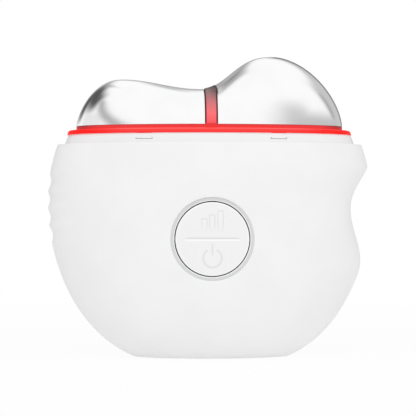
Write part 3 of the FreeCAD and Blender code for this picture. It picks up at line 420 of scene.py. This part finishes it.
def crown(x):
    """Height of the lobes over their base along the head: two peaks and a valley."""
    end = HEAD_HALF[0]
    low_x, valley_x, high_x = -0.653 * end, -0.0763 * end, 0.47 * end
    if x < low_x:
        return LOW_PEAK * max(0.0, 1 - ((low_x - x) / (end + low_x)) ** 2.2) ** 0.70
    if x < valley_x:
        return LOW_PEAK - (LOW_PEAK - VALLEY) * wave((x - low_x) / (valley_x - low_x))
    if x < high_x:
        share = (x - valley_x) / (high_x - valley_x)
        share += 0.5 * share ** 2 * (1 - share)
        return VALLEY + (HIGH_PEAK - VALLEY) * wave(share)
    return HIGH_PEAK * max(0.0, 1 - ((x - high_x) / (end - high_x)) ** 1.8) ** 0.625


def head_point(x, across, up, inset=0.0):
    """A point of the head's dome, or of one just inside it, from a place along it and an arch."""
    plan = math.sqrt(max(0.0, 1 - (x / HEAD_HALF[0]) ** 2))
    return Vector((x, (HEAD_HALF[1] - inset) * plan * across,
                   LOBE_BASE + (crown(x) - inset) * up))


def glowing_red():
    """Red translucent plastic with painted glow from below: bright at its foot, dim and dark up the
    rib.
    """
    material, shader, place = new_finish("glowing_red_plastic", Roughness=0.3, IOR=1.45,
                                         Specular_IOR_Level=0.1, Emission_Strength=1.0)
    x, y, z = place.parts()
    cloud = place.noise(700.0, 3.0)
    foot, rise = 55.0, 12.0
    height = (z * IN_MM - foot) / rise + 0.02 * (cloud - 0.5)
    # Painted light by height: darker at the flange's foot, bright low on the rib, painted shade at
    # its top.
    tone = height.node("ShaderNodeValToRGB", {"stops": [
        (0.0, (0.52, 0.02, 0.021, 1.0)),
        (0.04, (0.70, 0.046, 0.046, 1.0)),
        (0.16, (0.72, 0.05, 0.053, 1.0)),
        (0.22, (0.74, 0.12, 0.13, 1.0)),
        (0.40, (0.82, 0.17, 0.185, 1.0)),
        (0.62, (0.60, 0.185, 0.20, 1.0)),
        (0.80, (0.355, 0.175, 0.18, 1.0)),
        (0.945, (0.14, 0.08, 0.08, 1.0)),
        (0.975, (0.03, 0.015, 0.015, 1.0)),
    ]}, {0: height})
    # Masks: the raised band, the painted highlight on the flange's rim, the painted shadow line
    # under the lobes, both ends of the head, and painted shade on the flanks of the rib and on its
    # side away from the light
    band = z.ease(0.0562, 0.0565) * z.ease(0.05735, 0.05725)
    painted_rim_highlight = z.ease(0.0558, 0.0561) * z.ease(0.0564, 0.0562) * abs(x).ease(0.030, 0.020)
    painted_shadow_under_lobes = z.ease(0.0567, 0.0572) * z.ease(0.0574, 0.0573)
    ends = abs(x).ease(0.026, 0.0325)
    painted_flank_shade = (abs(x) * IN_MM).ease(RIB_HALF - 0.34, RIB_HALF - 0.12) * z.ease(0.0573, 0.0576)
    painted_far_side_shade = (x * IN_MM).ease(-0.8, 1.4) * height.ease(0.62, 0.92) * 0.42
    # Painted shade: the shadow under the lobes, stronger at both ends, the shaded flanks and far
    # side of the rib, and the band darker at the ends.
    shade = (painted_shadow_under_lobes * (0.2 + 0.65 * ends)).most(painted_flank_shade * 0.8).most(band * ends * 0.4).most(painted_far_side_shade)
    # Painted highlight along the flange's rim.
    tone = (painted_rim_highlight * 0.8).tint(tone, (0.80, 0.14, 0.13, 1.0))
    pure = abs(x).ease(0.018, 0.033) * z.ease(0.0564, 0.0561)
    tone = pure.tint(tone, (0.74, 0.008, 0.007, 1.0))
    shade.tint(tone, (0.06, 0.012, 0.012, 1.0)).into(shader.inputs["Base Color"])
    # Painted glow: emission fading up the rib, weaker on the band and in the painted shade.
    glow = (1.0 - height.least(1.0)) ** 2.2 * (0.9 + 0.2 * cloud) * (1 - 0.5 * band) * (1 - shade)
    glow.tint((0.0, 0.0, 0.0, 1.0), (0.40, 0.006, 0.006, 1.0)).into(shader.inputs["Emission Color"])
    place.bump(place.noise(1500.0), 0.04, 0.00002).into(shader.inputs["Normal"])
    return material


red_plastic = glowing_red()
# Points (inset, level) from the foot of the flange over its round to the band and down inside
ROUND_STEPS = 8
frame_profile = [(0.0, COLLAR_TOP), (0.0, COLLAR_TOP + 0.1), (0.1, 55.4)]
for step in range(ROUND_STEPS + 1):
    turn = math.pi / 2 * step / ROUND_STEPS
    frame_profile.append((1.1 - 0.95 * math.cos(turn), 55.55 + 0.65 * math.sin(turn)))
frame_profile += [(2.1, 56.2), (2.22, 56.24), (2.3, 56.35), (2.3, 57.0), (2.35, 57.14),
                  (2.5, LOBE_BASE), (4.4, LOBE_BASE), (4.4, 54.5), (2.0, 54.5), (2.0, COLLAR_TOP)]
frame_bm = tower(AROUND, list(range(len(frame_profile))))
bmesh.ops.bridge_loops(frame_bm, edges=[edge for edge in frame_bm.edges if edge.is_boundary])
for vert in frame_bm.verts:
    inset, level = frame_profile[round(vert.co.z)]
    along, across = FLANGE_HALF[0] - inset, FLANGE_HALF[1] - inset
    vert.co = Vector((along * vert.co.x, across * vert.co.y, level)) * MM
rib_bm = tower(192, [-RIB_HALF + 2 * RIB_HALF * step / RIB_STEPS for step in range(RIB_STEPS + 1)],
               Matrix.Rotation(math.pi / 2, 4, "Y"))
bmesh.ops.holes_fill(rib_bm, edges=[edge for edge in rib_bm.edges if edge.is_boundary])
rib_rims = [edge for edge in rib_bm.edges if any(len(face.verts) > 4 for face in edge.link_faces)]
bmesh.ops.bevel(rib_bm, geom=rib_rims, offset=0.25, segments=3, profile=0.5, affect="EDGES",
                material=-1)
for vert in rib_bm.verts:
    spread = math.hypot(vert.co.y, vert.co.z)
    up = max(vert.co.z, 0.0) / spread
    across = vert.co.y / spread
    point = head_point(vert.co.x, across, up, RIB_ROUND * (1 - spread) - RIB_PROUD)
    if vert.co.z <= 1e-6:
        point.z = LOBE_BASE - 0.8
    vert.co = point * MM
rib_mesh = bpy.data.meshes.new("rib")
rib_bm.to_mesh(rib_mesh)
rib_bm.free()
frame_bm.from_mesh(rib_mesh)
bpy.data.meshes.remove(rib_mesh)
add_piece("light_frame_moulding", frame_bm, red_plastic, "housing", "light_frame")


# Lobes: two hollow domes of polished plated metal, drawn and buffed to a mirror, which warm the
# skin. They stand on the band, one on each side of the rib, and are screwed from below.
def polished_metal():
    """Mirror plating with a trace of buffing haze and the finest wiping marks."""
    material, shader, place = new_finish("polished_plate", Metallic=1.0)
    haze = place.noise(140.0, 4.0)
    along_head = place.node("ShaderNodeMapping", None,
                            {"Vector": place, "Scale": (400.0, 4000.0, 4000.0)})
    marks = along_head.noise(1.0)
    haze.ease(0.35, 0.75).tint((0.97, 0.97, 0.972, 1.0), (0.94, 0.941, 0.945, 1.0)).into(
        shader.inputs["Base Color"])
    (0.15 + 0.03 * haze + 0.015 * marks).into(shader.inputs["Roughness"])
    place.bump(marks, 0.015, 0.000004).into(shader.inputs["Normal"])
    return material


mirror_plate = polished_metal()
LOBE_WALL = 1.0
LOBE_GAP = 0.05


def lobe_dome(side):
    """Half of a sphere, its pole on the outer end, drawn out to the lobe's own form."""
    bm = bmesh.new()
    bmesh.ops.create_uvsphere(bm, u_segments=160, v_segments=240, radius=1.0,
                              matrix=Matrix.Rotation(math.pi / 2, 4, "Y"))
    slice_at(bm, (0, 0, 0), (-side, 0, 0), drop=True)
    slice_at(bm, (0, 0, 0), (0, 0, -1), drop=True)
    bmesh.ops.remove_doubles(bm, verts=bm.verts, dist=1e-5)
    start = RIB_HALF + LOBE_GAP
    lip = 0.3
    for vert in bm.verts:
        ring = math.hypot(vert.co.y, vert.co.z)
        along = abs(vert.co.x) ** 1.25
        x = side * (start + (HEAD_HALF[0] - start) * along)
        rolled = max(0.0, lip - (abs(x) - start))
        inset = lip - math.sqrt(lip ** 2 - rolled ** 2)
        if ring < 1e-6:
            vert.co = Vector((side * HEAD_HALF[0], 0, LOBE_BASE)) * MM
        else:
            vert.co = head_point(x, vert.co.y / ring, max(vert.co.z, 0.0) / ring, inset) * MM
    return bm


for lobe, side in (("low", -1), ("high", 1)):
    add_piece(f"{lobe}_lobe_dome", lobe_dome(side), mirror_plate, "housing",
              f"{lobe}_lobe", LOBE_WALL)


# Head base: the white carrier plate under the head, whose snap hooks show in the collar windows.
# It is one moulding with the cradle of the vibration motor.
def dress(material, *nodes):
    """Gives solids that keep their shape their material."""
    for name in nodes:
        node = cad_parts[name]
        node.data.materials.clear()
        node.data.materials.append(material)


dress(collar_plastic, "head_base")


# Button bezel: a pale grey trim ring let into the front shell, with a painted highlight on its
# inner chamfer and a sleeve behind it that carries the pivot pin of the button.
BUTTON_FACE = -20.493
BEZEL_INNER = 9.05
BEZEL_OUTER = 10.04
SLEEVE_OUTER = 9.7
SLEEVE_END = 5.0


def turned(profile, steps=128):
    """A ring or disc turned about the button's axis from (radius, depth behind the face) points."""
    bm = bmesh.new()
    points = [bm.verts.new(Vector((radius, BUTTON_FACE + depth, BUTTON_MIDDLE)) * MM)
              for radius, depth in profile]
    lines = [bm.edges.new(pair) for pair in zip(points, points[1:])]
    bmesh.ops.spin(bm, geom=points + lines, cent=(0, 0, BUTTON_MIDDLE * MM), axis=(0, 1, 0),
                   angle=2 * math.pi, steps=steps, use_merge=True)
    bmesh.ops.remove_doubles(bm, verts=bm.verts, dist=WELD)
    return bm


def ring_plastic():
    """Pale grey plastic whose inner chamfer carries a painted highlight."""
    material, shader, place = new_finish("pale_grey_plastic", IOR=1.46, Specular_IOR_Level=0.35)
    x, y, z = place.parts()
    across, up = x * IN_MM, z * IN_MM - BUTTON_MIDDLE
    # Painted highlight: near white on the inner chamfer, pale grey elsewhere.
    lip = across.hypot(up).ease(9.28, 9.18)
    cloud = place.noise(90.0, 3.0)
    speck = place.noise(6000.0, 2.0)
    lip.tint((0.675, 0.68, 0.685, 1.0), (0.95, 0.95, 0.95, 1.0)).into(shader.inputs["Base Color"])
    (0.30 + 0.08 * cloud).into(shader.inputs["Roughness"])
    place.bump(speck, 0.1, 0.00002).into(shader.inputs["Normal"])
    return material


bezel_plastic = ring_plastic()
bezel_profile = [(BEZEL_INNER, 0.3), (9.07, 0.12), (9.24, 0.02), (9.34, 0.0), (9.93, 0.0),
                 (10.02, 0.04), (BEZEL_OUTER, 0.15), (BEZEL_OUTER, 1.0), (SLEEVE_OUTER, 1.0),
                 (SLEEVE_OUTER, SLEEVE_END), (BEZEL_INNER, SLEEVE_END), (BEZEL_INNER, 0.3)]
add_piece("button_bezel_ring", turned(bezel_profile), bezel_plastic, "housing",
          "button_bezel")


# Button cap: a round white cap that rocks on a pin, pressed above for the level and below for
# power. A fine line parts the two halves, and the signs are lightly engraved.
def engraved_cap():
    """White plastic with a parting line, three level bars and a power sign engraved in it."""
    material, shader, place = new_finish("engraved_white_plastic", IOR=1.46)
    x, y, z = place.parts()
    across = x * IN_MM
    up = z * IN_MM - BUTTON_MIDDLE
    front = (y * IN_MM).ease(-20.0, -20.3)
    line = abs(up - 0.2).ease(0.20, 0.08) * abs(across).ease(6.9, 5.8)
    # Painted highlights: a pale line just under the parting line, and a pale rim round the cap's
    # edge.
    painted_highlight_under_line = abs(up + 0.28).ease(0.28, 0.08) * abs(across).ease(6.9, 5.8)
    edge = across.hypot(up).ease(8.35, 8.6)
    marks = line
    for middle, top in ((-1.92, 4.8), (-0.05, 5.7), (1.92, 6.65)):
        sideways = abs(across - middle)
        body = (sideways - 0.62).most(up - top).most(1.95 - up)
        outline = abs(body).ease(0.22, 0.08)
        fade = up.ease(1.9, 3.6, 0.25, 0.9)
        marks = marks.most(outline * fade * 0.65)
    drop = up + 4.55
    ring = abs(across.hypot(drop) - 2.2).ease(0.36, 0.14)
    beside = (abs(across) - 0.05 - (drop * 0.55).most(0.0)).ease(-0.1, 0.1)
    mouth = beside.most((0.0 - drop).ease(0.0, 0.1))
    stem = abs(across).ease(0.34, 0.1) * abs(up + 2.5).ease(1.5, 1.3)
    marks = marks.most(ring * mouth * 0.6).most(stem * 0.6) * front
    cloud = place.noise(90.0, 3.0)
    speck = place.noise(6000.0, 2.0)
    shade = (marks * 0.75).least(1.0)
    # The cap's ground with its painted highlights, then the engraved marks on it.
    ground = (painted_highlight_under_line * front).most(edge).tint((0.875, 0.875, 0.88, 1.0), (0.96, 0.96, 0.96, 1.0))
    shade.tint(ground, (0.66, 0.66, 0.665, 1.0)).into(shader.inputs["Base Color"])
    (0.30 + 0.06 * cloud + 0.12 * marks).into(shader.inputs["Roughness"])
    place.bump(0.15 * speck - marks, 0.35, 0.00004).into(shader.inputs["Normal"])
    return material


cap_plastic = engraved_cap()
CAP_RADIUS = 8.8
CAP_ROUND = 0.4
CAP_FLAT = 8.4
CAP_PROUD = 0.15
CAP_BACK = 1.65
CAP_STEPS = 6
LUG_SIZE = (12.4 * MM, 3.5 * MM, 3.4 * MM)
LUG_DEEP = 3.4
POST_REACH = 4.6
POST_RADIUS = 1.1 * MM
POST_LONG = 4.5 * MM
POST_DEEP = 3.87
cap_profile = [(0.0, -CAP_PROUD), (4.0, -CAP_PROUD), (CAP_FLAT, -CAP_PROUD)]
for step in range(1, CAP_STEPS + 1):
    turn = math.pi / 2 * step / CAP_STEPS
    cap_profile.append((CAP_FLAT + CAP_ROUND * math.sin(turn),
                        CAP_ROUND - CAP_PROUD - CAP_ROUND * math.cos(turn)))
cap_profile += [(CAP_RADIUS, CAP_BACK), (0.0, CAP_BACK)]
cap_bm = turned(cap_profile)
lug = bmesh.ops.create_cube(cap_bm, size=1.0)["verts"]
bmesh.ops.scale(cap_bm, verts=lug, vec=LUG_SIZE)
bmesh.ops.translate(cap_bm, verts=lug, vec=(0, (BUTTON_FACE + LUG_DEEP) * MM, BUTTON_MIDDLE * MM))
for post_z in (-POST_REACH, POST_REACH):
    post = bmesh.ops.create_cone(cap_bm, cap_ends=True, segments=32, radius1=POST_RADIUS,
                                 radius2=POST_RADIUS, depth=POST_LONG,
                                 matrix=Matrix.Rotation(math.pi / 2, 4, "X"))["verts"]
    bmesh.ops.translate(cap_bm, verts=post,
                        vec=(0, (BUTTON_FACE + POST_DEEP) * MM, (BUTTON_MIDDLE + post_z) * MM))
add_piece("button_cap_disc", cap_bm, cap_plastic, "button", "button_cap")


# Screw plugs: soft white rubber stoppers pressed into the four holes over the shell screws.
# They end flush with the rear shell and hide the screw heads.
plug_rubber = moulded_plastic("soft_white_rubber", (0.80, 0.80, 0.805), 0.6, 0.35)
dress(plug_rubber, "screw_plugs")


# Inner works: boards, battery, motor, switches, heater films and screws, each in the plain
# finish of its trade. They are screwed or glued inside and show when the shells are apart.
def flecked(name, color, second, rough, metal=0.0, scale=900.0, relief=0.1):
    """A plain trade finish with flecks of a second tone, uneven gloss and a little relief."""
    material, shader, place = new_finish(name, Metallic=metal)
    grain = place.noise(scale, 4.0)
    grain.ease(0.35, 0.65).tint((*color, 1.0), (*second, 1.0)).into(shader.inputs["Base Color"])
    (rough - 0.05 + 0.1 * grain).into(shader.inputs["Roughness"])
    place.bump(grain, relief, 0.00002).into(shader.inputs["Normal"])
    return material


steel = flecked("zinc_plated_steel", (0.58, 0.58, 0.60), (0.66, 0.65, 0.62), 0.32, 1.0, 1400.0)
can_steel = flecked("drawn_steel", (0.62, 0.62, 0.64), (0.70, 0.70, 0.71), 0.28, 1.0, 700.0)
heavy_metal = flecked("sintered_metal", (0.20, 0.20, 0.21), (0.28, 0.28, 0.29), 0.5, 1.0, 2500.0)
solder_mask = flecked("green_solder_mask", (0.02, 0.16, 0.07), (0.03, 0.24, 0.10), 0.3, 0.0, 500.0)
black_moulding = flecked("black_moulding", (0.02, 0.02, 0.022), (0.04, 0.04, 0.042), 0.5, 0.0,
                         3000.0)
black_rubber = flecked("black_rubber", (0.025, 0.025, 0.025), (0.05, 0.05, 0.05), 0.75, 0.0, 1800.0)
amber_film = flecked("amber_film", (0.50, 0.22, 0.03), (0.60, 0.28, 0.05), 0.25, 0.0, 400.0)
foil_wrap = flecked("foil_wrap", (0.55, 0.56, 0.58), (0.64, 0.65, 0.66), 0.35, 0.7, 600.0)
dark_foam = flecked("dark_foam", (0.03, 0.03, 0.032), (0.07, 0.07, 0.075), 0.9, 0.0, 2200.0, 0.5)
lamp_body = flecked("pale_lamp_body", (0.75, 0.70, 0.60), (0.85, 0.80, 0.72), 0.35, 0.0, 2500.0)
dress(steel, "shell_screws", "head_screws", "board_screws", "charge_screws", "pivot_pin",
      "motor_shaft")
dress(can_steel, "vibration_motor", "usb_socket")
dress(heavy_metal, "eccentric_weight")
dress(solder_mask, "main_board", "charge_board", "led_board")
dress(black_moulding, "board_chips", "upper_switch", "lower_switch", "upper_plunger",
      "lower_plunger", "heat_sensor")
dress(black_rubber, "motor_boot")
dress(amber_film, "low_heater_film", "high_heater_film")
dress(foil_wrap, "battery")
dress(dark_foam, "battery_pad")
dress(lamp_body, "red_leds")


# Stage: a plain white floor that keeps the shadow, white light all round and one soft lamp above
# the front. Soft dark screens stand round the metal, which alone mirrors them.
FRONT_LEVEL = 1.025
REAR_FALL = 0.40
LEFT_FALL = 0.15
RIGHT_FALL = 0.09


def world_light():
    """White all round, with soft dark screens that only the polished metal mirrors."""
    world = bpy.data.worlds.new("studio")
    bpy.context.scene.world = world
    world.use_nodes = True
    tree = world.node_tree
    background = tree.nodes["Background"]
    path = tree.nodes.new("ShaderNodeLightPath")
    seen = Flow(tree, path.outputs["Is Camera Ray"])
    seen = seen.most(Flow(tree, path.outputs["Is Transmission Ray"]))
    mirrored = Flow(tree, path.outputs["Is Glossy Ray"])
    toward = Flow(tree, tree.nodes.new("ShaderNodeTexCoord").outputs["Generated"])
    x, y, z = toward.parts()
    around = x.maths("ARCTAN2", x, 0 - y) * math.degrees(1.0)
    up = z.maths("ARCSINE", z, 0.0) * math.degrees(1.0)

    def span(value, low, high, soft):
        """1 between two bounds, falling softly to 0 outside them."""
        return value.ease(low - soft, low) * value.ease(high + soft, high)

    left_screen = 0.92 * span(around, -140, -100, 22) * span(up, 34, 43, 18)
    left_post = 0.90 * span(around, -152, -134, 22) * span(up, 18, 36, 16)
    left_arc = 0.62 * abs(around + 78 - (37 - up) * 0.93).ease(16.0, 0.0) * span(up, 2, 40, 8)
    left_sheet = 0.18 * span(around, -105, -70, 8) * span(up, 4, 18, 8)
    rear_strip = 0.60 * abs(up - 25 - (around + 170) * 1.05).ease(17.0, 0.0)
    rear_strip = rear_strip * span(around, -174, -148, 22)
    right_wall = 0.42 * around.ease(84.0, 104.0) * around.ease(172.0, 158.0) * up.ease(50.0, 37.0)
    right_post = 0.60 * abs(around - 103).ease(15.0, 3.0) * span(up, 14, 33, 9)
    front_sheet = 0.47 * span(around, 46, 112, 25) * up.ease(24.0, 6.0)
    front_cloud = 0.38 * span(around, 42, 48, 17) * up.ease(36.0, 14.0)
    behind = 0.60 * y.ease(0.83, 0.94)
    right_rim = 0.82 * y.ease(0.70, 0.84) * x.ease(0.02, 0.12)
    dark = left_screen
    for screen in (left_post, left_arc, left_sheet, rear_strip, right_wall,
                   right_post, front_sheet, front_cloud, behind, right_rim):
        dark = dark.most(screen)
    gloss = 1 - dark
    sides = LEFT_FALL * x.ease(0.0, -0.9) + RIGHT_FALL * x.ease(0.0, 0.9)
    soft = FRONT_LEVEL - REAR_FALL * y.ease(-0.35, 0.80) - sides
    level = soft + (1 - soft) * seen
    strength = mirrored * (gloss - level) + level
    background.inputs["Color"].default_value = (1.0, 1.0, 1.0, 1.0)
    strength.into(background.inputs["Strength"])


world_light()

FLOOR_HALF = 6.0
FLOOR_DROP = 0.0002
floor_bm = bmesh.new()
bmesh.ops.create_grid(floor_bm, x_segments=8, y_segments=8, size=FLOOR_HALF)
bmesh.ops.translate(floor_bm, verts=floor_bm.verts, vec=(0, 0, -FLOOR_DROP))
floor_mesh = bpy.data.meshes.new("floor")
floor_bm.to_mesh(floor_mesh)
floor_bm.free()
floor = bpy.data.objects.new("floor", floor_mesh)
bpy.context.collection.objects.link(floor)
floor_paint, floor_shader, floor_place = new_finish("floor_paint", Roughness=0.9)
floor_tree = floor_paint.node_tree
floor_place.noise(3.0).tint((0.93, 0.93, 0.93, 1.0), (0.94, 0.94, 0.94, 1.0)).into(
    floor_shader.inputs["Base Color"])
floor_path = floor_tree.nodes.new("ShaderNodeLightPath")
direct = Flow(floor_tree, floor_path.outputs["Is Camera Ray"]).most(
    Flow(floor_tree, floor_path.outputs["Is Glossy Ray"])).most(
    Flow(floor_tree, floor_path.outputs["Is Transmission Ray"]))
white = floor_tree.nodes.new("ShaderNodeEmission")
blend = floor_tree.nodes.new("ShaderNodeMixShader")
floor_x, floor_y, _ = floor_place.parts()
away = floor_x.hypot(floor_y).ease(0.06, 0.30)
left = floor_x.ease(0.0, -0.12)
(0.45 - 0.40 * left + direct * (0.47 + 0.40 * left + 0.08 * away)).into(blend.inputs[0])
floor_tree.links.new(floor_shader.outputs[0], blend.inputs[1])
floor_tree.links.new(white.outputs[0], blend.inputs[2])
floor_tree.links.new(blend.outputs[0], floor_tree.nodes["Material Output"].inputs["Surface"])
floor_mesh.materials.append(floor_paint)


LAMP_PLACE = Vector((-0.05, -0.5, 0.55))
LAMP_TARGET = Vector((0, 0, 0.045))
softbox = bpy.data.lights.new("key_softbox", "AREA")
softbox.shape = "SQUARE"
softbox.size = 0.4
softbox.energy = 0.55
lamp = bpy.data.objects.new("key_softbox", softbox)
lamp.location = LAMP_PLACE
lamp.rotation_euler = (LAMP_TARGET - LAMP_PLACE).to_track_quat("-Z", "Y").to_euler()
lamp.visible_glossy = False
bpy.context.collection.objects.link(lamp)


# Camera: a long lens at the height of the body's middle, a little to the left of the front.
# One point of the picture spans a quarter of a millimetre at the object.
AIM = Vector((-0.000375, 0.0, 0.036875))
DISTANCE = 0.400
SENSOR = 36.0
PICTURE_POINTS = 416
POINT_SPAN = 0.25 * MM
LEFT_TURN = math.radians(1.9)
camera_data = bpy.data.cameras.new("camera")
camera_data.lens = SENSOR * DISTANCE / (PICTURE_POINTS * POINT_SPAN)
camera_data.sensor_width = SENSOR
camera_data.clip_start = 0.01
camera = bpy.data.objects.new("camera", camera_data)
camera.location = AIM + Vector((-math.tan(LEFT_TURN), -1.0, 0.0)) * DISTANCE
camera.rotation_euler = (AIM - camera.location).to_track_quat("-Z", "Y").to_euler()
bpy.context.collection.objects.link(camera)
bpy.context.scene.camera = camera
bpy.context.scene.view_settings.view_transform = "Standard"
